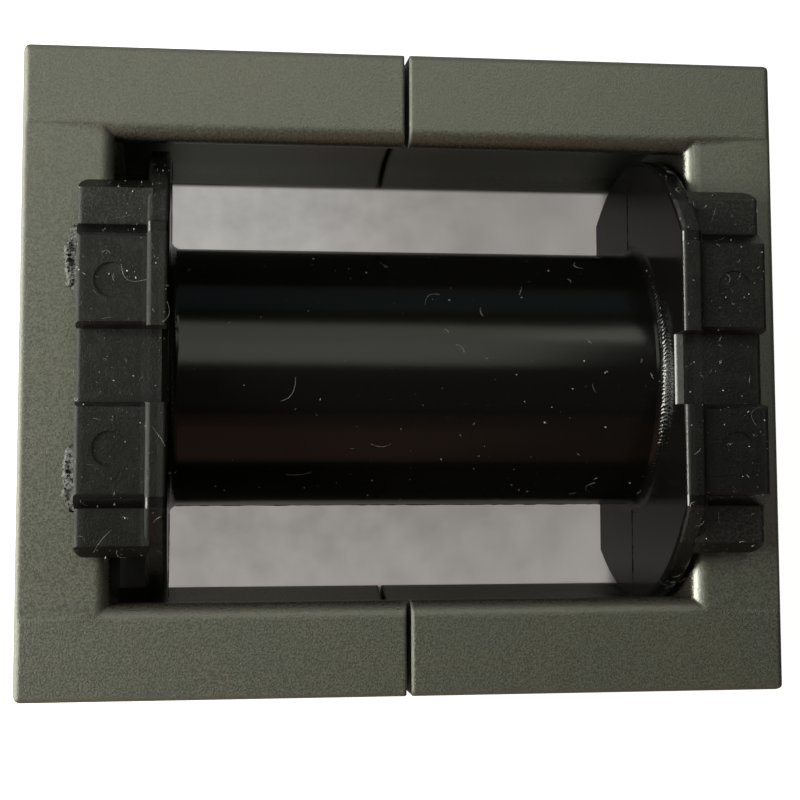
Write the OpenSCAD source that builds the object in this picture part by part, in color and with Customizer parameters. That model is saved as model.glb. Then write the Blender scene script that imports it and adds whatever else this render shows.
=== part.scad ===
// Ferrite transformer core: two pressed E halves with a round centre leg, closed face to face
// inside one moulded coil former, with two dabs of dried glue at the former's left end.
// The legs run along X and the core lies flat. The part stands on the former's lower flats, and
// its origin is on the floor below the middle of the core.

/* [Core halves] */
// Width of the core across its outer legs
core_w = 28.55; // [26.5:0.05:34]
// Length of one half, from its ground mating face to its back
half_l = 16.86; // [14:0.02:20]
// Depth of the core, from its lower face to its upper face
core_d = 11.4; // [10.6:0.1:12.6]
// Diameter of the round centre leg
leg_d = 9.9; // [8.4:0.05:10.4]
// Diameter of the round wall inside the outer legs
window_d = 22.4; // [21.6:0.05:23.6]
// Thickness of the yoke that joins the three legs
yoke_t = 4.05; // [3.2:0.05:5]
// Gap left in the seam between the two ground faces
seam_gap = 0.22; // [0.02:0.01:0.3]

/* [Core edges] */
// Rounding of the outer legs' inner lips
lip_r = 0.75; // [0.3:0.05:1.1]
// Rounding of the yoke's edges round the winding window
yoke_r = 0.7; // [0.3:0.05:1]
// Rounding of the outer edges left by the press tool
edge_r = 0.25; // [0.1:0.05:0.5]
// Rounding of the upright corners at the back
corner_r = 0.4; // [0.2:0.05:0.8]
// Edge break round the ground mating faces
mating_break = 0.07; // [0.03:0.01:0.15]
// How far the yoke's broad faces lie below those of the legs
yoke_relief = 0.02; // [0.01:0.01:0.12]

/* [Coil former] */
// Clearance between the centre leg and the former's bore
leg_clearance = 0.15; // [0.08:0.01:0.3]
// Wall of the winding tube
tube_wall = 0.92; // [0.6:0.02:1.2]
// Thickness of a flange
flange_t = 0.95; // [0.7:0.05:1.3]
// Clearance between a flange's rim and the outer legs' round wall
flange_clearance = 0.65; // [0.25:0.05:0.9]
// Fillet where the tube runs into a flange
root_r = 0.45; // [0.2:0.05:0.8]
// Rounding of a flange's rim and flats
rim_r = 0.22; // [0.08:0.02:0.26]
// Total end play of the former between the two yokes
end_play = 1.72; // [0.8:0.02:2.4]
// Gap left at the right yoke, where the former has slid along
slide_gap = 0.26; // [0.1:0.02:0.4]
// How far a flange's lower flat stands below the tube, or below the core if that is lower
foot_drop = 0.18; // [0.1:0.02:0.4]
// Lead-in chamfer at each mouth of the bore
mouth_chamfer = 0.3; // [0.1:0.05:0.4]

/* [End blocks] */
// Clearance between a block's underside and the core's face
block_clearance = 0.18; // [0.1:0.02:0.4]
// Height of a block's low base, with its outer shelves and middle recess
base_h = 1.65; // [1.2:0.05:2.2]
// Height of the two wings above the base
wing_h = 0.84; // [0.5:0.02:1.2]
// How far the flange's rim stands proud of the wings
rim_proud = 0.3; // [0.15:0.05:0.5]
// How far a block reaches out from its flange over the yoke
block_reach = 2.94; // [2:0.02:3.6]
// Width of a block's base
base_w = 16.2; // [15:0.1:17.5]
// Width across the tops of the two wings
wing_w = 11.05; // [9.5:0.05:12]
// Width of the recess between the wings, on its floor
recess_w = 3.1; // [2:0.1:4]
// Draft of the wings' recess walls, across their height
recess_draft = 0.12; // [0.05:0.01:0.25]
// Chamfer along the recess floor's edge, towards the tube
recess_chamfer = 0.3; // [0.1:0.05:0.5]
// Run of the steep slope from a wing down to its outer shelf
wing_slope = 0.5; // [0.2:0.05:0.8]
// Run of the slope at a base's two ends
end_slope = 0.5; // [0.2:0.05:0.7]
// Height of that slope, down from the shelf
end_slope_h = 0.9; // [0.4:0.05:1.1]
// Rounding of a base's upright outer corners
base_corner_r = 0.45; // [0.2:0.05:0.8]
// Rounding of a block's outer upper edges
block_edge_r = 0.2; // [0.1:0.02:0.3]
// Edge break along a wing's sides
wing_break = 0.12; // [0.05:0.01:0.2]
// Diameter of the plain moulding-pin marks on the wings
pin_mark_d = 1.5; // [0.8:0.1:2]
// Depth of those marks
pin_mark_depth = 0.08; // [0.04:0.01:0.15]

/* [Glue dabs] */
// Length of a dab along the block's outer edge
dab_l = 2.9; // [1.5:0.1:3.5]
// Distance from the middle of the block to the middle of a dab
dab_place = 4.75; // [4:0.05:5.2]
// Radius of a dab at its thickest
dab_r = 0.46; // [0.3:0.02:0.6]
// Share by which a dab swells and shrinks along its length
dab_swell = 0.1; // [0:0.02:0.25]

/* [Hidden] */
$fn = 96;
// Sections that are cut or joined run past each other by this much
overrun = 1;

// Core: half depth, window wall, and the centre of the rounded lip that is tangent to both
face_z = core_d / 2;
window_r = window_d / 2;
lip_z = face_z - lip_r;
lip_y = sqrt(pow(window_r + lip_r, 2) - pow(lip_z, 2));
lip_tangent_z = lip_z * window_r / (window_r + lip_r);
yoke_face_z = face_z - yoke_relief;
yoke_inner_x = half_l - yoke_t;
outer_leg_middle = (window_r + core_w / 2) / 2;

// Former: radii about the leg's axis, lengths between the yokes, and heights above that axis
bore_r = leg_d / 2 + leg_clearance;
tube_r = bore_r + tube_wall;
flange_r = window_r - flange_clearance;
former_l = 2 * yoke_inner_x + seam_gap - end_play;
former_shift = end_play / 2 - slide_gap;
flange_inner_x = former_l / 2 - flange_t;
flange_low_z = max(face_z, tube_r) + foot_drop;
base_low_z = face_z + block_clearance;
base_top_z = base_low_z + base_h;
wing_top_z = base_top_z + wing_h;
flange_top_z = wing_top_z + rim_proud;
base_middle_z = base_low_z + base_h / 2;
block_root_x = former_l / 2 - flange_t / 2;
block_end_x = former_l / 2 + block_reach;
// Height of the leg's axis above the floor
axis_z = flange_low_z;

// Dabs: steps along the turned outline, swellings in it, and how far its axis lies off the block
dab_steps = 16;
dab_lumps = 2;
dab_creep = 0.2;

// Lays an outline drawn in Y and Z along X, from x_from to x_to
module along_x(x_from, x_to) {
    translate([x_from, 0, 0])
        rotate([90, 0, 90])
            linear_extrude(x_to - x_from)
                children();
}

// Lays an outline drawn in X and Z along Y, evenly to both sides of the middle
module along_y(width) {
    translate([0, width / 2, 0])
        rotate([90, 0, 0])
            linear_extrude(width)
                children();
}

// Rectangle from one corner to the other, with a radius at each of the corners listed in round_at
module rounded_block_outline(low, high, r, round_at) {
    difference() {
        translate(low)
            square(high - low);
        for (corner = round_at) {
            tip = [corner.x > 0 ? high.x : low.x, corner.y > 0 ? high.y : low.y];
            difference() {
                translate(tip - [corner.x > 0 ? r : overrun, corner.y > 0 ? r : overrun])
                    square(r + overrun);
                translate(tip - [corner.x * r, corner.y * r])
                    circle(r);
            }
        }
    }
}

ALL_CORNERS = [[-1, -1], [-1, 1], [1, -1], [1, 1]];
OUTER_CORNERS = [[1, -1], [1, 1]];
INNER_CORNERS = [[-1, -1], [-1, 1]];
OUTER_UPPER_CORNER = [[1, 1]];

// Section of the outer leg at +Y: flat outside, round window wall inside, two rounded lips
module outer_leg_section() {
    difference() {
        union() {
            translate([lip_y, -face_z])
                square([core_w / 2 - lip_y, core_d]);
            translate([0, -lip_tangent_z])
                square([lip_y, 2 * lip_tangent_z]);
            for (side = [-1, 1])
                translate([lip_y, side * lip_z])
                    circle(lip_r);
        }
        circle(window_r);
    }
}

// Rectangle whose mating edge, at x = 0, is broken and whose back corners are rounded
module half_outline(half_width, r) {
    difference() {
        rounded_block_outline([0, -half_width], [half_l, half_width], r, OUTER_CORNERS);
        for (side = [-1, 1])
            polygon([
                [0, side * (half_width - mating_break)],
                [mating_break, side * half_width],
                [mating_break, side * (half_width + overrun)],
                [-overrun, side * (half_width + overrun)],
                [-overrun, side * (half_width - mating_break)]
            ]);
    }
}

// One E half: mating face at x = 0, back at x = half_l, about the centre leg's axis
module core_half() {
    intersection() {
        union() {
            for (side = [0, 1])
                mirror([0, side, 0])
                    along_x(0, half_l)
                        outer_leg_section();
            along_y(2 * outer_leg_middle)
                rounded_block_outline(
                    [yoke_inner_x, -yoke_face_z], [half_l, yoke_face_z], yoke_r, INNER_CORNERS);
            rotate([0, 90, 0])
                cylinder(h = half_l - yoke_t / 2, d = leg_d);
        }
        along_x(0, half_l)
            rounded_block_outline(
                [-core_w / 2, -face_z], [core_w / 2, face_z], edge_r, ALL_CORNERS);
        along_y(core_w)
            half_outline(face_z, edge_r);
        translate([0, 0, -face_z])
            linear_extrude(core_d)
                half_outline(core_w / 2, corner_r);
    }
}

module core_half_left() {
    color("#5b5c50")
        translate([-seam_gap / 2, 0, axis_z])
            mirror([1, 0, 0])
                core_half();
}

module core_half_right() {
    color("#55564b")
        translate([seam_gap / 2, 0, axis_z])
            core_half();
}

// Tube with its two root fillets, turned about the leg's axis
module winding_tube() {
    rotate([0, 90, 0])
        rotate_extrude() {
            translate([bore_r, -former_l / 2])
                square([tube_wall, former_l]);
            for (end = [0, 1])
                mirror([0, end])
                    difference() {
                        translate([tube_r - tube_wall / 2, flange_inner_x - root_r])
                            square([root_r + tube_wall / 2, root_r + flange_t / 2]);
                        translate([tube_r + root_r, flange_inner_x - root_r])
                            circle(root_r);
                    }
        }
}

// Round flange at the +X end with rounded rim, trimmed to its two flats
module flange() {
    intersection() {
        rotate([0, 90, 0])
            rotate_extrude()
                rounded_block_outline(
                    [bore_r, flange_inner_x], [flange_r, former_l / 2], rim_r, OUTER_CORNERS);
        along_y(2 * flange_r)
            rounded_block_outline(
                [flange_inner_x, -flange_low_z], [former_l / 2, flange_top_z], rim_r, ALL_CORNERS);
    }
}

// Low base of the +X end block, with its outer shelves and the floor of its recess
module block_base() {
    intersection() {
        along_y(base_w)
            rounded_block_outline(
                [block_root_x, base_low_z], [block_end_x, base_top_z],
                block_edge_r, OUTER_UPPER_CORNER);
        translate([0, 0, base_low_z])
            linear_extrude(base_h)
                rounded_block_outline(
                    [block_root_x, -base_w / 2], [block_end_x, base_w / 2],
                    base_corner_r, OUTER_CORNERS);
        along_x(block_root_x, block_end_x)
            polygon([
                [-base_w / 2, base_low_z],
                [base_w / 2, base_low_z],
                [base_w / 2, base_top_z - end_slope_h],
                [base_w / 2 - end_slope, base_top_z],
                [end_slope - base_w / 2, base_top_z],
                [-base_w / 2, base_top_z - end_slope_h]
            ]);
    }
}

// One raised wing of the +X end block, on its +Y side
module block_wing() {
    intersection() {
        along_y(base_w)
            rounded_block_outline(
                [block_root_x, base_low_z], [block_end_x, wing_top_z],
                block_edge_r, OUTER_UPPER_CORNER);
        along_x(block_root_x, block_end_x)
            polygon([
                [recess_w / 2, base_top_z],
                [recess_w / 2 + recess_draft, wing_top_z - wing_break],
                [recess_w / 2 + recess_draft + wing_break, wing_top_z],
                [wing_w / 2 - wing_break, wing_top_z],
                [wing_w / 2, wing_top_z - wing_break],
                [wing_w / 2 + wing_slope, base_top_z],
                [wing_w / 2 + wing_slope, base_middle_z],
                [recess_w / 2, base_middle_z]
            ]);
    }
}

// The +X end block, which keeps to the flange's round as far as it lies inside the flange
module end_block() {
    intersection() {
        union() {
            block_base();
            for (side = [0, 1])
                mirror([0, side, 0])
                    block_wing();
        }
        union() {
            rotate([0, 90, 0])
                cylinder(h = block_end_x + overrun, r = flange_r - rim_r);
            translate([former_l / 2 - rim_r, -base_w, 0])
                cube([block_reach + overrun, 2 * base_w, wing_top_z + overrun]);
        }
    }
}

// Recess floor carried on through the flange's rim, with a chamfer at its edge
module rim_recess() {
    along_x(flange_inner_x - overrun, former_l / 2)
        polygon([
            [-recess_w / 2, base_top_z],
            [recess_w / 2, base_top_z],
            [recess_w / 2 + recess_draft, flange_top_z + overrun],
            [-recess_w / 2 - recess_draft, flange_top_z + overrun]
        ]);
    along_y(recess_w)
        polygon([
            [flange_inner_x - overrun, base_top_z - recess_chamfer - overrun],
            [flange_inner_x + recess_chamfer, base_top_z],
            [flange_inner_x - overrun, base_top_z]
        ]);
}

// Plain round marks of the moulding pins, one on each wing
module pin_marks() {
    for (side = [-1, 1])
        translate([
            (former_l / 2 + block_end_x) / 2,
            side * (recess_w + wing_w) / 4,
            wing_top_z - pin_mark_depth
        ])
            cylinder(h = pin_mark_depth + overrun, d = pin_mark_d);
}

// Everything at the +X end of the former: flange and end block in one moulding
module former_end() {
    difference() {
        union() {
            flange();
            end_block();
        }
        rim_recess();
        pin_marks();
    }
}

// Bore for the centre legs, with a lead-in chamfer at each mouth
module former_bore() {
    rotate([0, 90, 0]) {
        cylinder(h = former_l + 2 * overrun, r = bore_r, center = true);
        for (end = [0, 1])
            mirror([0, 0, end])
                translate([0, 0, former_l / 2 - mouth_chamfer])
                    cylinder(h = mouth_chamfer, r1 = bore_r, r2 = bore_r + mouth_chamfer);
    }
}

module coil_former() {
    color("#17171a")
        translate([former_shift, 0, axis_z])
            difference() {
                union() {
                    winding_tube();
                    for (end = [0, 1])
                        mirror([end, 0, 0])
                            former_end();
                }
                former_bore();
                translate([-former_l, -flange_r, -flange_low_z - overrun])
                    cube([2 * former_l, 2 * flange_r, overrun]);
            }
}

// Radius of a dab at a share of its length, from -1 at one tip to 1 at the other
function dab_radius(share) =
    dab_r * sqrt(1 - share * share) * (1 - dab_swell + dab_swell * sin(dab_lumps * 180 * share));

// Lumpy bead, flat against the yoke's face and the block's end
module glue_dab(side) {
    end_x = former_shift - block_end_x;
    middle_y = side * dab_place;
    shares = [for (i = [0 : dab_steps]) 2 * i / dab_steps - 1];
    intersection() {
        translate([end_x - dab_r * dab_creep, middle_y, yoke_face_z])
            rotate([90, 0, 0])
                rotate_extrude()
                    polygon([for (share = shares) [dab_radius(share), share * dab_l / 2]]);
        translate([end_x - 2 * dab_r, middle_y - dab_l, yoke_face_z])
            cube([2 * dab_r, 2 * dab_l, 2 * dab_r]);
    }
}

module glue_dab_back() {
    color("#8f8b7c")
        translate([0, 0, axis_z])
            glue_dab(1);
}

module glue_dab_front() {
    color("#8f8b7c")
        translate([0, 0, axis_z])
            glue_dab(-1);
}

core_half_left();
core_half_right();
coil_former();
glue_dab_back();
glue_dab_front();
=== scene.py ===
import math

import bmesh
import bpy
from mathutils import Euler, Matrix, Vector


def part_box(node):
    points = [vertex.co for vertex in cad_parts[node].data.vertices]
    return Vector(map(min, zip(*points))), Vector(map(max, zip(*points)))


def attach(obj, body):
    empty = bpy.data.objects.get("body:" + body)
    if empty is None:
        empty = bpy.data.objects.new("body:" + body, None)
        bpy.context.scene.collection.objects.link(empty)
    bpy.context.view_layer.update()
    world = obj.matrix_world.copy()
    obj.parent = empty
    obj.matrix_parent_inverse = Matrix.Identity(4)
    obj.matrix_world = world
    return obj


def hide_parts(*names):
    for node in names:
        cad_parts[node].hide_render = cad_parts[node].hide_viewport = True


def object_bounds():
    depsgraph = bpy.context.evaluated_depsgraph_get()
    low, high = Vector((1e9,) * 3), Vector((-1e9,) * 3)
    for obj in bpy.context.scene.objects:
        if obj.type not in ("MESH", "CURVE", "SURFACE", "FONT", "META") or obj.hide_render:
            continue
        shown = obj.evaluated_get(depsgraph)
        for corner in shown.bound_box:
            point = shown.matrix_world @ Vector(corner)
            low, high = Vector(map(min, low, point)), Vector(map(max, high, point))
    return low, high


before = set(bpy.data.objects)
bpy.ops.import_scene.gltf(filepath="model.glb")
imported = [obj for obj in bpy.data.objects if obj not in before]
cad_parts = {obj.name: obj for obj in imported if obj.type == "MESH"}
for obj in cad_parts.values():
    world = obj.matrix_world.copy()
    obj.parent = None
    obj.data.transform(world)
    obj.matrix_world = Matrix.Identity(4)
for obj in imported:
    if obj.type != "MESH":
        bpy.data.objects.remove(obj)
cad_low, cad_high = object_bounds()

# Core halves. Two E halves pressed from ferrite powder and fired to a dense grey-green ceramic.
# The press leaves a fine grain and rounded lips, the mating faces are ground flat, and the two
# halves meet inside the coil former.
MM = 0.001
FERRITE_OLIVE = (0.066, 0.069, 0.046)
FERRITE_SLATE = (0.059, 0.064, 0.047)
# The next colour is a darker umber, painted on the lips, the step and the outer edges as shade.
FERRITE_EDGE_SHADE = (0.052, 0.042, 0.028)
FERRITE_PIT = (0.02, 0.02, 0.016)
FERRITE_CHALK = (0.36, 0.36, 0.32)
FERRITE_INDEX = 2.3
FERRITE_SHEEN = (0.97, 1.0, 0.84)
FERRITE_ROUGH = 0.37
FERRITE_RELIEF = 0.05
EDGE_BREAK = 0.2
LIP_Y = 10.88
LIP_FADE = 3.6
YOKE_T = 4.05
SEAM_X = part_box("core_half_right")[0].x / MM
END_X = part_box("core_half_right")[1].x / MM
SIDE_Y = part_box("core_half_right")[1].y / MM
CORE_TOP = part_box("core_half_left")[1].z / MM
YOKE_INNER_X = END_X - YOKE_T
GRAIN_PER_MM = 12.0
PEBBLE_PER_MM = 14.0
MOTTLE_PER_MM = 0.45
SPECK_PER_MM = 0.9
SPECK_R = 0.05
SPECK_SHARE = 0.09
PIT_PER_MM = 3.0
PIT_R = 0.05
PIT_SHARE = 0.5
SCRATCH_PER_MM = 1.1
SCRATCH_R = 0.035
SCRATCH_SHARE = 0.1
SCRATCH_STRETCH = (1.0, 0.18, 1.0)


class Wire:
    """One output of a node tree. Arithmetic on it adds Math nodes to the same tree."""

    def __init__(self, tree, socket=None):
        self.tree = tree
        self.socket = socket

    def node(self, kind, inputs=None, out=0, **settings):
        """Adds a node, sets it up, then gives each named input its value or link."""
        made = self.tree.nodes.new(kind)
        for name, value in settings.items():
            setattr(made, name, value)
        for key, value in (inputs or {}).items():
            socket = made.inputs[key]
            if isinstance(value, Wire):
                self.tree.links.new(value.socket, socket)
            elif isinstance(value, list):
                for wire in value:
                    self.tree.links.new(wire.socket, socket)
            elif socket.type == "RGBA" and len(value) == 3:
                socket.default_value = (*value, 1.0)
            else:
                socket.default_value = value
        return Wire(self.tree, made.outputs[out] if made.outputs else None)

    def math(self, operation, first, second=0.0):
        """One Math node on two values."""
        return self.node("ShaderNodeMath", {0: first, 1: second}, operation=operation)

    def __add__(self, other):
        return self.math("ADD", self, other)

    def __sub__(self, other):
        return self.math("SUBTRACT", self, other)

    def __mul__(self, other):
        return self.math("MULTIPLY", self, other)

    def __truediv__(self, other):
        return self.math("DIVIDE", self, other)

    def __pow__(self, other):
        return self.math("POWER", self, other)

    def __radd__(self, other):
        return self.math("ADD", other, self)

    def __rsub__(self, other):
        return self.math("SUBTRACT", other, self)

    def __rmul__(self, other):
        return self.math("MULTIPLY", other, self)

    def __rtruediv__(self, other):
        return self.math("DIVIDE", other, self)

    def __abs__(self):
        return self.math("ABSOLUTE", self)

    def rise(self, start, end):
        """Smooth step from 0 at start to 1 at end. With start above end it falls instead."""
        values = {"Value": self, "From Min": start, "From Max": end}
        return self.node("ShaderNodeMapRange", values, interpolation_type="SMOOTHSTEP")

    def blend(self, first, second):
        """Mixes two colours by this value."""
        values = {0: self, 6: first, 7: second}
        return self.node("ShaderNodeMix", values, out=2, data_type="RGBA")

    def also(self, out):
        """Another output of the node that this one comes from."""
        return Wire(self.tree, self.socket.node.outputs[out])

    def shade(self, factor):
        """This colour made darker or lighter by a value."""
        values = {0: self, "Scale": factor}
        return self.node("ShaderNodeVectorMath", values, operation="SCALE")

    def noise(self, per_mm, detail=2.0, roughness=0.5):
        """Cloudy noise at this place, with features of 1 / per_mm millimetres."""
        values = {"Vector": self, "Scale": per_mm, "Detail": detail, "Roughness": roughness}
        return self.node("ShaderNodeTexNoise", values, out="Fac")

    def dots(self, per_mm, radius_mm, share):
        """Round dots scattered at this place: one in every cell, and only that share of them."""
        values = {"Vector": self, "Scale": per_mm}
        distance = self.node("ShaderNodeTexVoronoi", values, out="Distance")
        tint = self.node("ShaderNodeTexVoronoi", values, out="Color")
        chosen = self.node("ShaderNodeSeparateColor", {"Color": tint}, out="Red")
        inside = distance.rise(radius_mm * per_mm, 0.4 * radius_mm * per_mm)
        return inside * chosen.rise(1 - share, 1 - share + 0.01)


def start_material(name):
    """A new material, its empty tree, and the place on the object in millimetres."""
    material = bpy.data.materials.new(name)
    material.use_nodes = True
    material.node_tree.nodes.clear()
    tree = Wire(material.node_tree)
    metres = tree.node("ShaderNodeTexCoord", out="Object")
    place = tree.node("ShaderNodeVectorMath", {0: metres, "Scale": 1 / MM}, operation="SCALE")
    return material, tree, place


def axes_of(place):
    """The X, Y and Z of a place."""
    return [place.node("ShaderNodeSeparateXYZ", {0: place}, out=axis) for axis in "XYZ"]


def end_material(tree, shader_inputs):
    """Closes a material with one Principled shader."""
    shader = tree.node("ShaderNodeBsdfPrincipled", shader_inputs, out="BSDF")
    tree.node("ShaderNodeOutputMaterial", {"Surface": shader})


def ferrite(name, lightness, step_depth):
    """Fired ferrite: soft olive and slate clouds, fine grain, pebbled lips, specks and pits, with
    painted shade on the lips, the outer edges and the inner walls.
    """
    material, tree, place = start_material(name)
    x, y, z = axes_of(place)
    over_yoke = (abs(x) - YOKE_INNER_X).rise(-0.1, 0.4)
    dying = (abs(x) - YOKE_INNER_X).rise(LIP_FADE, 0.0)
    past_lip = abs(y).rise(LIP_Y + 0.1, LIP_Y - 0.15 - 0.4 * dying)
    step = over_yoke * dying * past_lip
    lips = (1 - over_yoke) * past_lip + 4 * step * (1 - past_lip)
    leg = abs(y).rise(LIP_Y - 0.2, LIP_Y + 0.1)
    backward = y.rise(-1.0, 1.0)
    clouds = place.noise(MOTTLE_PER_MM, 4.0, 0.6).rise(0.35, 0.65)
    grain = place.noise(GRAIN_PER_MM, 3.0, 0.65)
    stipple = grain.rise(0.36, 0.64)
    pebbles = place.noise(PEBBLE_PER_MM, 2.0, 0.6)
    chalk = place.dots(SPECK_PER_MM, SPECK_R, SPECK_SHARE)
    drawn_out = {0: place, 1: SCRATCH_STRETCH}
    strokes = place.node("ShaderNodeVectorMath", drawn_out, operation="MULTIPLY")
    scratch = strokes.dots(SCRATCH_PER_MM, SCRATCH_R, SCRATCH_SHARE)
    pits = place.dots(PIT_PER_MM, PIT_R, PIT_SHARE)
    ground = abs(x).rise(SEAM_X + 0.14, SEAM_X + 0.05)
    chipped = ground * place.noise(3.0, 3.0, 0.7).rise(0.5, 0.65)
    rim = tree.math("MAXIMUM", abs(x) - END_X, abs(y) - SIDE_Y).rise(-0.35, -0.1)
    # Painted shade: sunk marks the inner walls below the top face, and they are darkened further
    # down, more on the back walls.
    sunk = (z.rise(CORE_TOP - 0.2, CORE_TOP - 0.65) * abs(y).rise(SIDE_Y - 0.5, SIDE_Y - 1.5)
            * abs(x).rise(END_X - 0.5, END_X - 1.5))
    under = lips * z.rise(CORE_TOP - 0.2, CORE_TOP - 0.5)
    body = clouds.blend(FERRITE_OLIVE, FERRITE_SLATE).shade(lightness * (0.62 + 0.76 * stipple))
    # Painted shade: the lips, the step where they fade out over the yoke, and a band along the
    # outer edges are blended towards a darker umber, and the lips get darker speckles that follow
    # their pebbled grain.
    body = (0.6 * lips + 0.5 * rim).blend(body, FERRITE_EDGE_SHADE)
    painted_wall_shade = 1 - sunk * (0.4 + 0.35 * backward)
    pebbled_lip_shade = 1 - 0.5 * lips * pebbles.rise(0.4, 0.6)
    body = body.shade(painted_wall_shade * pebbled_lip_shade)
    pale = tree.math("MAXIMUM", chalk, 0.35 * scratch + 0.2 * chipped)
    colour = pale.blend((0.6 * pits).blend(body, FERRITE_PIT), FERRITE_CHALK)
    height = ((0.24 + 0.1 * leg) * grain + 0.5 * lips * pebbles
              - step_depth * (0.3 + 0.7 * backward) * step - 0.12 * pits + 0.12 * chalk)
    soft = tree.node("ShaderNodeBevel", {"Radius": EDGE_BREAK * MM}, samples=4)
    relief = tree.node("ShaderNodeBump", {
        "Height": height,
        "Distance": FERRITE_RELIEF * MM,
        "Strength": 1.0,
        "Normal": soft,
    })
    end_material(tree, {
        "Base Color": colour,
        "Roughness": (FERRITE_ROUGH + 0.1 * stipple - 0.09 * lips - 0.12 * under
                      + 0.3 * ground + 0.25 * rim),
        "IOR": FERRITE_INDEX,
        "Specular Tint": FERRITE_SHEEN,
        "Normal": relief,
    })
    return material


for node_name, lightness, step_depth in (
        ("core_half_left", 1.0, 0.35), ("core_half_right", 0.98, 1.2)):
    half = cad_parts[node_name]
    half.data.materials[0] = ferrite("ferrite_" + node_name, lightness, step_depth)

# Coil former. One moulding in black plastic: a polished winding tube between two flanges, each
# with a two-winged end block that lies over a yoke. It slides over the centre legs and holds both
# halves in line.
TUBE_R = 6.02
ROOT_R = 0.45
FLANGE_T = 0.95
BLOCK_REACH = 2.94
WING_SIDE = 11.05 / 2
BASE_SIDE = 16.2 / 2
SLOPE_RUN = 0.5
CORE_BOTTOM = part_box("core_half_left")[0].z / MM
AXIS_Z = (CORE_TOP + CORE_BOTTOM) / 2
former_low, former_high = (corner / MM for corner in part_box("coil_former"))
FORMER_X = (former_low.x + former_high.x) / 2
BLOCK_END = former_high.x - FORMER_X
FLANGE_X = BLOCK_END - BLOCK_REACH - FLANGE_T
PLASTIC_BLACK = (0.0030, 0.0028, 0.0026)
# The next colour is a pale film: real dust, and also painted light on the backs of the blocks.
PLASTIC_DUST_AND_PAINTED_LIGHT = (0.16, 0.16, 0.145)
PLASTIC_INDEX = 1.46
PLASTIC_SHEEN = (0.98, 1.0, 0.9)
PLASTIC_POLISH = 0.14
PLASTIC_RELIEF = 0.02
SKIN_PER_MM = 16.0
WAVE_PER_MM = 0.35
SMUDGE_PER_MM = 1.3
GRIT_PER_MM = 8.0
SPECKLE_PER_MM = 3.2
SPECKLE_R = 0.05
SPECKLE_SHARE = 0.08
HATCH_TURNS = 210.0
HATCH_SLANT = 30.0
HATCH_WANDER = 9.0


def moulded_plastic(name):
    """Black moulding compound: polished tube and inner flange faces, satin end blocks."""
    material, tree, place = start_material(name)
    x, y, z = axes_of(place)
    along = abs(x - FORMER_X)
    height = z - AXIS_Z
    radius = (y * y + height * height) ** 0.5
    inner = along.rise(FLANGE_X + 0.12, FLANGE_X + 0.04)
    tube = inner * radius.rise(TUBE_R + 0.06, TUBE_R + 0.02)
    fillet = inner * radius.rise(TUBE_R + ROOT_R + 0.1, TUBE_R + ROOT_R) - tube
    outside = 1 - inner
    grain = place.noise(SKIN_PER_MM, 3.0, 0.65)
    waves = place.noise(WAVE_PER_MM, 2.0)
    smudge = place.noise(SMUDGE_PER_MM, 5.0, 0.65).rise(0.45, 0.75)
    grit = place.noise(GRIT_PER_MM, 4.0, 0.75)
    speckle = place.dots(SPECKLE_PER_MM, SPECKLE_R, SPECKLE_SHARE) * outside
    edges = outside * tree.math("MAXIMUM", along.rise(FLANGE_X + 0.5, FLANGE_X + 0.35),
                                along.rise(BLOCK_END - 0.4, BLOCK_END - 0.2))
    edges = edges + abs(along - FLANGE_X - FLANGE_T).rise(0.25, 0.12)
    half_run = SLOPE_RUN / 2
    wing_slopes = abs(abs(y) - WING_SIDE - half_run).rise(half_run + 0.03, half_run - 0.05)
    end_slopes = abs(y).rise(BASE_SIDE - SLOPE_RUN - 0.02, BASE_SIDE - SLOPE_RUN + 0.06)
    steep = outside * tree.math("MAXIMUM", wing_slopes, end_slopes)
    skin = tree.node("ShaderNodeRGB")
    skin.socket.default_value = (*PLASTIC_BLACK, 1.0)
    # Painted light: the film fades from the back to the front of the blocks, so they read lighter
    # at the back and darker at the front; the specks, smudges, grit and shelf dust in it are real
    # dirt.
    drift = (outside - steep) * y.rise(-7.0, 8.0)
    shelf_y = WING_SIDE + SLOPE_RUN
    shelves = (outside - steep) * abs(y).rise(shelf_y, shelf_y + 0.12)
    dusty = shelves * tree.math("MAXIMUM", x.rise(0.0, 1.0), y.rise(0.0, 1.0))
    dust_film_and_painted_light = (0.5 * speckle + drift * (0.06 * smudge + 0.08 * grit.rise(0.5, 0.65))
            + dusty * (0.02 + 0.08 * grit.rise(0.42, 0.62))
            + 0.012 * tube * grain.rise(0.4, 0.7))
    colour = dust_film_and_painted_light.blend(skin.shade(0.8 + 0.4 * grain), PLASTIC_DUST_AND_PAINTED_LIGHT)
    angle = tree.math("ARCTAN2", height, y)
    ripple = angle * HATCH_TURNS + along * HATCH_SLANT + HATCH_WANDER * place.noise(4.0, 2.0)
    hatch = tree.math("SINE", ripple) * (0.2 + 1.6 * place.noise(2.5, 3.0, 0.7))
    coarse = 1.3 * (outside - 0.6 * steep) * grit
    relief = tree.node("ShaderNodeBump", {
        "Height": 0.06 * grain + coarse + 0.25 * waves + 0.27 * fillet * hatch,
        "Distance": PLASTIC_RELIEF * MM,
        "Strength": 1.0,
    })
    satin = 0.2 + 0.06 * y.rise(-7.0, 1.0) + 0.12 * smudge + 0.25 * edges
    finish = (PLASTIC_POLISH + 0.03 * tube - 0.06 * fillet
              + (outside - 0.7 * steep) * satin)
    end_material(tree, {
        "Base Color": colour,
        "Roughness": finish + 0.1 * speckle,
        "IOR": PLASTIC_INDEX,
        "Specular Tint": PLASTIC_SHEEN,
        "Normal": relief,
    })
    return material


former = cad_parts["coil_former"]
former.data.materials[0] = moulded_plastic("former_plastic_finish")

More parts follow.
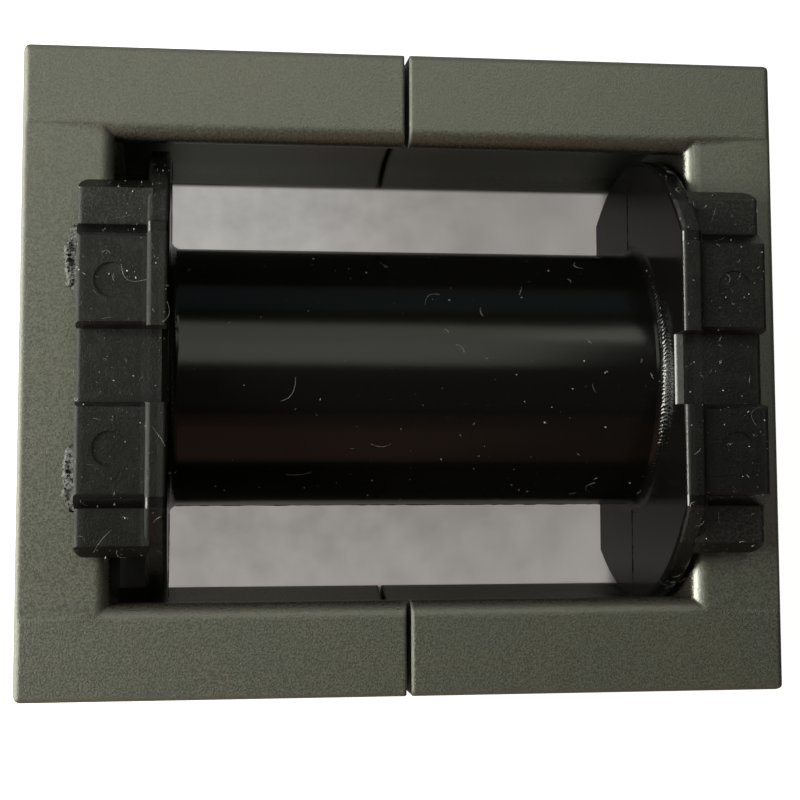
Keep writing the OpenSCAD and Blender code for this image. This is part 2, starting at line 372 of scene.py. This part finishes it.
# Parting flash. The thin, uneven ridge that the two mould halves leave where they meet: along both
# sides of the tube and out across the inner faces of the flanges. It is part of the moulding.
FLANGE_R = 10.55
FLASH_R = 0.05
FLASH_STEP = 0.12
FLASH_SIDES = 6
FLASH_STOP = 0.3
FLASH_PALE = (0.012, 0.012, 0.011)
FLASH_INDEX = 1.25


def grow(name, build, inputs, material):
    """An object whose plain mesh comes from a Geometry Nodes tree with these named inputs."""
    group = bpy.data.node_groups.new(name, "GeometryNodeTree")
    group.interface.new_socket("Geometry", in_out="OUTPUT", socket_type="NodeSocketGeometry")
    for label, value in inputs.items():
        kind = "NodeSocketObject" if isinstance(value, bpy.types.Object) else "NodeSocketFloat"
        group.interface.new_socket(label, in_out="INPUT", socket_type=kind)
    tree = Wire(group)
    entry = group.nodes.new("NodeGroupInput")
    grown = build(tree, {label: Wire(group, entry.outputs[label]) for label in inputs})
    plain = tree.node("GeometryNodeRealizeInstances", {"Geometry": grown})
    dressed = tree.node("GeometryNodeSetMaterial", {"Geometry": plain, "Material": material})
    tree.node("NodeGroupOutput", {"Geometry": dressed})
    made = bpy.data.objects.new(name, bpy.data.meshes.new(name))
    bpy.context.scene.collection.objects.link(made)
    growth = made.modifiers.new(name, "NODES")
    growth.node_group = group
    for socket in group.interface.items_tree:
        if socket.in_out == "INPUT":
            growth[socket.identifier] = inputs[socket.name]
    evaluated = made.evaluated_get(bpy.context.evaluated_depsgraph_get())
    mesh = bpy.data.meshes.new_from_object(evaluated)
    made.modifiers.remove(growth)
    made.data = mesh
    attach(made, "root")
    return made


def place_in_mm(tree):
    """Position of each point of a growing mesh or curve, in millimetres."""
    metres = tree.node("GeometryNodeInputPosition")
    return tree.node("ShaderNodeVectorMath", {0: metres, "Scale": 1 / MM}, operation="SCALE")


def point(tree, x, y, z):
    """A vector from three values."""
    return tree.node("ShaderNodeCombineXYZ", {"X": x, "Y": y, "Z": z})


def rod(tree, curve, radius, sides):
    """A round rod along a curve, with its own radius at each point."""
    ring = tree.node("GeometryNodeCurvePrimitiveCircle", {"Resolution": sides, "Radius": 1.0})
    values = {"Curve": curve, "Profile Curve": ring, "Scale": radius, "Fill Caps": True}
    return tree.node("GeometryNodeCurveToMesh", values)


def torn_plastic(name):
    """The same plastic where the mould has torn it: matt, with a paler crest here and there."""
    material, tree, place = start_material(name)
    torn = place.noise(5.0, 3.0, 0.7).rise(0.45, 0.7)
    colour = torn.blend(PLASTIC_BLACK, FLASH_PALE)
    end_material(tree, {
        "Base Color": colour,
        "Roughness": 0.75 + 0.2 * torn,
        "IOR": FLASH_INDEX,
    })
    return material


def parting_ridges(tree, sizes):
    """Three runs on each side: across one flange, along the tube, across the other flange."""
    ends = [sizes["Middle"] - sizes["Reach"], sizes["Middle"] + sizes["Reach"]]
    runs = []
    for side in (-1, 1):
        rim, root = side * sizes["Rim Radius"], side * sizes["Tube Radius"]
        corners = [point(tree, x, y, sizes["Height"]) for x, y in
                   ((ends[0], rim), (ends[0], root), (ends[1], root), (ends[1], rim))]
        for start, stop in zip(corners, corners[1:]):
            runs.append(tree.node("GeometryNodeCurvePrimitiveLine", {"Start": start, "End": stop}))
    lines = tree.node("GeometryNodeJoinGeometry", {"Geometry": runs})
    values = {"Curve": lines, "Length": sizes["Step"]}
    stepped = tree.node("GeometryNodeResampleCurve", values, mode="LENGTH")
    ragged = place_in_mm(tree).noise(1.6, 3.0, 0.7).rise(0.35, 0.75)
    return rod(tree, stepped, sizes["Ridge Radius"] * (0.25 + 0.75 * ragged), FLASH_SIDES)


flash = grow("parting_flash", parting_ridges, {
    "Middle": FORMER_X * MM,
    "Reach": FLANGE_X * MM,
    "Rim Radius": (FLANGE_R - FLASH_STOP) * MM,
    "Tube Radius": TUBE_R * MM,
    "Height": AXIS_Z * MM,
    "Ridge Radius": FLASH_R * MM,
    "Step": FLASH_STEP * MM,
}, torn_plastic("parting_flash_finish"))

# Glue dabs. Two beads of adhesive squeezed out where the former's left block meets the yoke, dried
# to a crumbly, half-clear skin. They tie the former to the core.
DAB_R = 0.6
CRUMB_R = 0.08
DAB_EDGE_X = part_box("glue_dab_back")[1].x / MM
# The next two colours are the glue's own dark and pale tones, used as painted shade in the hollows
# and painted highlight on the crests.
GLUE_HOLLOW_SHADE = (0.03, 0.031, 0.024)
GLUE_CREST_HIGHLIGHT = (0.1, 0.1, 0.083)
GLUE_RELIEF = 0.1
LUMPS_PER_MM = 3.2
CRUMBS_PER_MM2 = 14.0
BEAD_STEPS = 48
BEAD_SIDES = 16


def dried_glue(name):
    """Old adhesive: its own pale and dark mottle, laid on as painted highlight on the crests and
    rims and painted shade in the hollows, and a slight gloss.
    """
    material, tree, place = start_material(name)
    lumps = place.noise(4.5, 3.0, 0.6)
    across = (DAB_EDGE_X - axes_of(place)[0]) / DAB_R
    # Painted highlight and shade: the colour is pale where the bump is high and at the bead's
    # rims, and dark in its hollows.
    crest_light_and_hollow_shade = abs(across - 0.5) + 0.9 * (lumps - 0.5)
    colour = crest_light_and_hollow_shade.rise(0.15, 0.4).blend(GLUE_HOLLOW_SHADE, GLUE_CREST_HIGHLIGHT)
    values = {"Height": lumps, "Distance": GLUE_RELIEF * MM, "Strength": 1.0}
    relief = tree.node("ShaderNodeBump", values)
    end_material(tree, {"Base Color": colour, "Roughness": 0.45 + 0.3 * lumps, "Normal": relief})
    return material


def glue_bead(tree, sizes):
    """A lumpy, sunken bead with crumbs on it, pressed flat against the yoke and the block."""
    half = sizes["Length"] / 2
    start = point(tree, sizes["Edge X"], sizes["Middle Y"] - half, sizes["Face Z"])
    stop = point(tree, sizes["Edge X"], sizes["Middle Y"] + half, sizes["Face Z"])
    line = tree.node("GeometryNodeCurvePrimitiveLine", {"Start": start, "End": stop})
    values = {"Curve": line, "Count": BEAD_STEPS}
    stepped = tree.node("GeometryNodeResampleCurve", values, mode="COUNT")
    share = 2 * tree.node("GeometryNodeSplineParameter", out="Factor") - 1
    swell = 0.7 + 0.6 * place_in_mm(tree).noise(1.1, 2.0)
    thick = sizes["Bead Radius"] * (1 - share * share) ** 0.25 * swell
    bead = rod(tree, stepped, thick, BEAD_SIDES)
    values = {"Vector": place_in_mm(tree), "Scale": LUMPS_PER_MM}
    lumps = tree.node("ShaderNodeTexNoise", values, out="Color")
    values = {0: lumps, 1: (0.5, 0.5, 0.5)}
    centred = tree.node("ShaderNodeVectorMath", values, operation="SUBTRACT")
    values = {0: centred, "Scale": sizes["Bead Radius"]}
    shift = tree.node("ShaderNodeVectorMath", values, operation="SCALE")
    lumpy = tree.node("GeometryNodeSetPosition", {"Geometry": bead, "Offset": shift})
    values = {"Mesh": lumpy, "Density": sizes["Crumbs"], "Seed": 3}
    points = tree.node("GeometryNodeDistributePointsOnFaces", values, out="Points")
    grit = tree.node("GeometryNodeMeshIcoSphere", {"Radius": sizes["Crumb Radius"]}, out="Mesh")
    growth = tree.node("FunctionNodeRandomValue", {2: 0.4, 3: 1.0, "Seed": 5}, out=1)
    values = {"Points": points, "Instance": grit, "Scale": growth}
    crumbs = tree.node("GeometryNodeInstanceOnPoints", values)
    loose = tree.node("GeometryNodeRealizeInstances", {"Geometry": crumbs})
    whole = tree.node("GeometryNodeJoinGeometry", {"Geometry": [lumpy, loose]})
    x, y, z = axes_of(tree.node("GeometryNodeInputPosition"))
    across = (sizes["Edge X"] - x) / sizes["Bead Radius"]
    hollows = place_in_mm(tree).noise(2.0).rise(0.35, 0.55)
    sunk = across.rise(0.1, 0.4) * across.rise(0.9, 0.6) * hollows
    height = tree.math("MAXIMUM", z - sizes["Face Z"], 0.0) * (1 - 0.6 * sunk)
    pressed = point(tree, tree.math("MINIMUM", x, sizes["Edge X"]), y, sizes["Face Z"] + height)
    return tree.node("GeometryNodeSetPosition", {"Geometry": whole, "Position": pressed})


glue = dried_glue("dried_glue_finish")
for node_name in ("glue_dab_back", "glue_dab_front"):
    dab_low, dab_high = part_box(node_name)
    bead = grow(node_name + "_bead", glue_bead, {
        "Edge X": dab_high.x,
        "Middle Y": (dab_low.y + dab_high.y) / 2,
        "Length": dab_high.y - dab_low.y,
        "Face Z": dab_low.z,
        "Bead Radius": DAB_R * MM,
        "Crumb Radius": CRUMB_R * MM,
        "Crumbs": CRUMBS_PER_MM2 / (MM * MM),
    }, glue)
    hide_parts(node_name)

# Dust and lint. Pale crumbs and short fibres that have settled on the upper sides of the former
# and, more thinly, of the core. They lie loose where they fell.
DUST_DARK = (0.1, 0.1, 0.085)
DUST_PALE = (0.42, 0.42, 0.38)
DUST_R = 0.07
LINT_R = 0.0065
LINT_LENGTH = 0.42
LINT_STEPS = 8
LINT_SIDES = 5
LINT_BOW = 0.8
FACING_UP = 0.3
TUBE_SHEDS = 0.8
FULL_TURN = 6.3


def dust_finish(name):
    """Matt household dust, from grey to pale."""
    material, tree, place = start_material(name)
    colour = place.noise(1.5).rise(0.35, 0.65).blend(DUST_DARK, DUST_PALE)
    end_material(tree, {"Base Color": colour, "Roughness": 0.8})
    return material


def upper_points(tree, sizes, drift):
    """Random points on what faces up, more where the drift is high, few on the polished tube."""
    surface = tree.node("GeometryNodeObjectInfo", {"Object": sizes["Surface"]}, out="Geometry")
    up = axes_of(tree.node("GeometryNodeInputNormal"))[2]
    x = axes_of(tree.node("GeometryNodeInputPosition"))[0]
    polished = tree.math("LESS_THAN", abs(x - sizes["Middle"]), sizes["Polished Reach"])
    values = {
        "Mesh": surface,
        "Selection": tree.math("GREATER_THAN", up, FACING_UP),
        "Density": sizes["Density"] * drift * (1 - TUBE_SHEDS * polished),
        "Seed": 11,
    }
    return tree.node("GeometryNodeDistributePointsOnFaces", values, out="Points")


def settled_dust(tree, sizes):
    """Crumbs of mixed sizes, most of them tiny, gathered in drifts."""
    drift = place_in_mm(tree).noise(0.45, 2.0).rise(0.38, 0.68)
    points = upper_points(tree, sizes, drift)
    chance = tree.node("FunctionNodeRandomValue", {2: 0.0, 3: 1.0, "Seed": 7}, out=1)
    values = {1: (FULL_TURN, FULL_TURN, FULL_TURN), "Seed": 8}
    turn = tree.node("FunctionNodeRandomValue", values, data_type="FLOAT_VECTOR")
    crumb = tree.node("GeometryNodeMeshIcoSphere", {"Radius": sizes["Crumb Radius"]}, out="Mesh")
    size = 0.2 + 0.8 * chance ** 5.0
    values = {"Points": points, "Instance": crumb, "Rotation": turn,
              "Scale": point(tree, size, 0.6 * size, 0.5 * size)}
    return tree.node("GeometryNodeInstanceOnPoints", values)


def settled_lint(tree, sizes):
    """Straight and bowed fibres lying flat in every direction, most of them short."""
    points = upper_points(tree, sizes, 1.0)
    length = sizes["Length"]
    bend = tree.node("GeometryNodeCurveQuadraticBezier", {
        "Resolution": LINT_STEPS,
        "Start": point(tree, -0.5 * length, 0.0, 0.0),
        "Middle": point(tree, 0.1 * length, length, 0.0),
        "End": point(tree, 0.5 * length, 0.0, 0.0),
    })
    turn = tree.node("FunctionNodeRandomValue", {2: 0.0, 3: FULL_TURN, "Seed": 4}, out=1)
    chance = tree.node("FunctionNodeRandomValue", {2: 0.0, 3: 1.0, "Seed": 6}, out=1)
    bow = tree.node("FunctionNodeRandomValue", {2: -LINT_BOW, 3: LINT_BOW, "Seed": 9}, out=1)
    laid = tree.node("FunctionNodeRotateRotation", {
        "Rotation": points.also("Rotation"),
        "Rotate By": point(tree, 0.0, 0.0, turn),
    }, rotation_space="LOCAL")
    size = 0.2 + 0.6 * chance + 2.2 * chance ** 8.0
    values = {"Points": points, "Instance": bend, "Rotation": laid,
              "Scale": point(tree, size, size * bow, size)}
    bends = tree.node("GeometryNodeInstanceOnPoints", values)
    curves = tree.node("GeometryNodeRealizeInstances", {"Geometry": bends})
    return rod(tree, curves, sizes["Fibre Radius"], LINT_SIDES)


dust = dust_finish("dust_finish")
for node_name, crumbs, fibres in (
        ("coil_former", 9.0, 0.7),
        ("core_half_left", 0.06, 0.0),
        ("core_half_right", 0.06, 0.0)):
    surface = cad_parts[node_name]
    on_former = node_name == "coil_former"
    sizes = {
        "Surface": surface,
        "Middle": FORMER_X * MM,
        "Polished Reach": FLANGE_X * MM if on_former else 0.0,
    }
    grow("dust_on_" + node_name, settled_dust, {
        **sizes,
        "Density": crumbs / (MM * MM),
        "Crumb Radius": DUST_R * MM,
    }, dust)
    if fibres:
        grow("lint_on_" + node_name, settled_lint, {
            **sizes,
            "Density": fibres / (MM * MM),
            "Length": LINT_LENGTH * MM,
            "Fibre Radius": LINT_R * MM,
        }, dust)

# Floor. A plain pale sheet of paper under the part. It is white around the part, and grey in the
# part's two windows, where the part shades it and a painted glow, brighter to the left and back,
# lifts it; glossy rays see a painted reflection of that glow.
FLOOR_SIDE = 3.0
FLOOR_PAPER = (0.80, 0.79, 0.775)
FLOOR_FIBRE = (0.77, 0.755, 0.74)
FLOOR_WHITE = 0.88
# The cool and warm tints below colour the painted glow in the windows.
FLOOR_COOL_PAINTED_LIGHT = (1.0, 0.98, 0.94)
FLOOR_OPEN = (1.0, 1.0, 1.0)
FLOOR_WARM_PAINTED_LIGHT = (1.0, 0.93, 0.87)
# The next three are levels of the painted glow and the painted reflection on the floor in the
# windows.
WINDOW_PAINTED_GLOW = 0.226
CORNER_PAINTED_LIGHT = 0.15
PAINTED_REFLECTION = 0.3
LIP_R = 0.75
LEFTWARD_X = (8.0, -9.0)
BACKWARD_Y = (-6.0, 6.0)
# The nook is where the painted reflection gets painted shade, next to the flanges.
NOOK_X = (5.5, 8.5)
NOOK_Y = (9.0, 10.2)


def floor_paper(name):
    """Matt paper that the camera sees white outside the part and grey through its windows, with a
    painted glow there and a painted reflection of it.
    """
    material, tree, place = start_material(name)
    x, y = axes_of(place)[:2]
    reach_x = abs(x) - cad_high.x / MM
    reach_y = abs(y) - cad_high.y / MM
    outside = tree.math("MAXIMUM", reach_x, reach_y).rise(-0.3, 1.0)
    fibres = place.noise(0.5, 4.0, 0.6)
    # Painted light: the glow in the windows is brighter to the left and towards the back.
    leftward = x.rise(*LEFTWARD_X)
    corner = leftward * (0.35 + 0.65 * y.rise(*BACKWARD_Y))
    seen, painted_reflection = (tree.node("ShaderNodeLightPath", out="Is %s Ray" % kind)
                      for kind in ("Camera", "Glossy"))
    between_flanges = abs(x - FORMER_X).rise(FLANGE_X + 0.9, FLANGE_X + 0.2)
    open_floor = between_flanges * abs(y).rise(LIP_Y - 0.5, LIP_Y - LIP_R)
    # Painted glow: camera and glossy rays see the window floor lifted to a grey.
    lift = (WINDOW_PAINTED_GLOW + CORNER_PAINTED_LIGHT * corner) * (0.65 + 0.7 * fibres)
    # Painted reflection for glossy rays, brighter to the left, with painted shade in the nooks
    # next to the flanges.
    nook_painted_shade = abs(x).rise(*NOOK_X) * abs(y).rise(*NOOK_Y)
    painted_reflection = PAINTED_REFLECTION * (0.6 + leftward) * (1 - nook_painted_shade) * painted_reflection
    glow = seen * FLOOR_WHITE * outside + (seen + painted_reflection) * lift * open_floor
    paper = fibres.blend(FLOOR_PAPER, FLOOR_FIBRE)
    # The painted glow is tinted cool at the back left and warm towards the front right.
    tint = outside.blend(corner.blend(FLOOR_WARM_PAINTED_LIGHT, FLOOR_COOL_PAINTED_LIGHT), FLOOR_OPEN)
    matt = tree.node("ShaderNodeBsdfDiffuse", {"Color": paper}, out="BSDF")
    white = tree.node("ShaderNodeEmission", {"Color": tint, "Strength": glow}, out="Emission")
    sheet = tree.node("ShaderNodeAddShader", {0: matt, 1: white}, out="Shader")
    tree.node("ShaderNodeOutputMaterial", {"Surface": sheet})
    return material


sheet = bmesh.new()
bmesh.ops.create_grid(sheet, x_segments=1, y_segments=1, size=FLOOR_SIDE / 2)
floor_mesh = bpy.data.meshes.new("floor")
sheet.to_mesh(floor_mesh)
sheet.free()
floor_mesh.materials.append(floor_paper("floor_paper"))
floor = bpy.data.objects.new("floor", floor_mesh)
bpy.context.scene.collection.objects.link(floor)


# Studio. A low, bright side light at the left rakes across the part, a large soft window stands
# behind and above it, and weak fills and a warm bounce from the front lift what they leave dark.
def softbox(name, place_mm, aim_mm, size_mm, radiance, colour):
    """A rectangular light at a place, aimed at a point, that looks as bright as its radiance."""
    light = bpy.data.lights.new(name, "AREA")
    light.shape = "RECTANGLE"
    light.size = size_mm[0] * MM
    light.size_y = size_mm[1] * MM
    light.energy = radiance * math.pi * light.size * light.size_y
    light.color = colour
    lamp = bpy.data.objects.new(name, light)
    lamp.location = Vector(place_mm) * MM
    lamp.rotation_euler = (Vector(aim_mm) - Vector(place_mm)).to_track_quat("-Z", "Y").to_euler()
    lamp.visible_camera = False
    bpy.context.scene.collection.objects.link(lamp)


TUBE_MIDDLE = (0, 0, AXIS_Z)
CORE_MIDDLE = (0, 0, CORE_TOP)
softbox("window_light", (8, 82, 172), TUBE_MIDDLE, (90, 120), 1.12, (1.0, 1.0, 0.95))
softbox("window_glow", (-4, 60, 178), TUBE_MIDDLE, (90, 45), 0.16, (1.0, 1.0, 0.95))
softbox("side_light", (-130, 0, 52), CORE_MIDDLE, (90, 75), 18.5, (1.0, 1.0, 0.98))
softbox("desk_light", (-80, 10, 110), CORE_MIDDLE, (50, 50), 0.95, (1.0, 1.0, 0.98))
softbox("right_fill", (60, 75, 110), CORE_MIDDLE, (40, 40), 1.55, (0.97, 1.0, 0.97))
softbox("back_fill", (-75, 82, 60), CORE_MIDDLE, (40, 40), 2.8, (0.97, 1.0, 0.98))
softbox("dusk_strip", (0, 95, 45), TUBE_MIDDLE, (260, 40), 0.09, (0.8, 0.95, 1.15))
softbox("ceiling", (0, -40, 175), TUBE_MIDDLE, (220, 110), 0.042, (1.0, 0.92, 0.82))
softbox("warm_bounce", (0, -95, 62), TUBE_MIDDLE, (240, 100), 0.1, (1.0, 0.58, 0.42))
softbox("warm_glow", (-40, -95, 62), TUBE_MIDDLE, (150, 80), 0.12, (1.0, 0.5, 0.36))

AIR = (0.02, 0.02, 0.02)
WHITE = (1.0, 1.0, 1.0)
world = bpy.data.worlds.new("studio_air")
bpy.context.scene.world = world
world.use_nodes = True
world.node_tree.nodes.clear()
air = Wire(world.node_tree)
seen = air.node("ShaderNodeLightPath", out="Is Camera Ray")
backdrop = air.node("ShaderNodeBackground", {"Color": seen.blend(AIR, WHITE)})
air.node("ShaderNodeOutputWorld", {"Surface": backdrop})

# Camera. It stands close above the part, a little left of the middle and towards the front, and
# looks almost straight down.
LENS_MM = 72.16
SENSOR_MM = 36.0
CAMERA_PLACE = (-9.875, -4.892, AXIS_Z + 75.982)
CAMERA_TURN = (5.035, -7.121, -0.132)
CAMERA_SHIFT = (0.02, -0.075)
CAMERA_NEAR = 0.001
CAMERA_FAR = 10.0
camera_data = bpy.data.cameras.new("camera")
camera_data.lens = LENS_MM
camera_data.sensor_width = SENSOR_MM
camera_data.shift_x, camera_data.shift_y = CAMERA_SHIFT
camera_data.clip_start = CAMERA_NEAR
camera_data.clip_end = CAMERA_FAR
camera = bpy.data.objects.new("camera", camera_data)
camera.location = Vector(CAMERA_PLACE) * MM
camera.rotation_euler = Euler([math.radians(turn) for turn in CAMERA_TURN])
bpy.context.scene.collection.objects.link(camera)
bpy.context.scene.camera = camera
bpy.context.scene.view_settings.view_transform = "Standard"
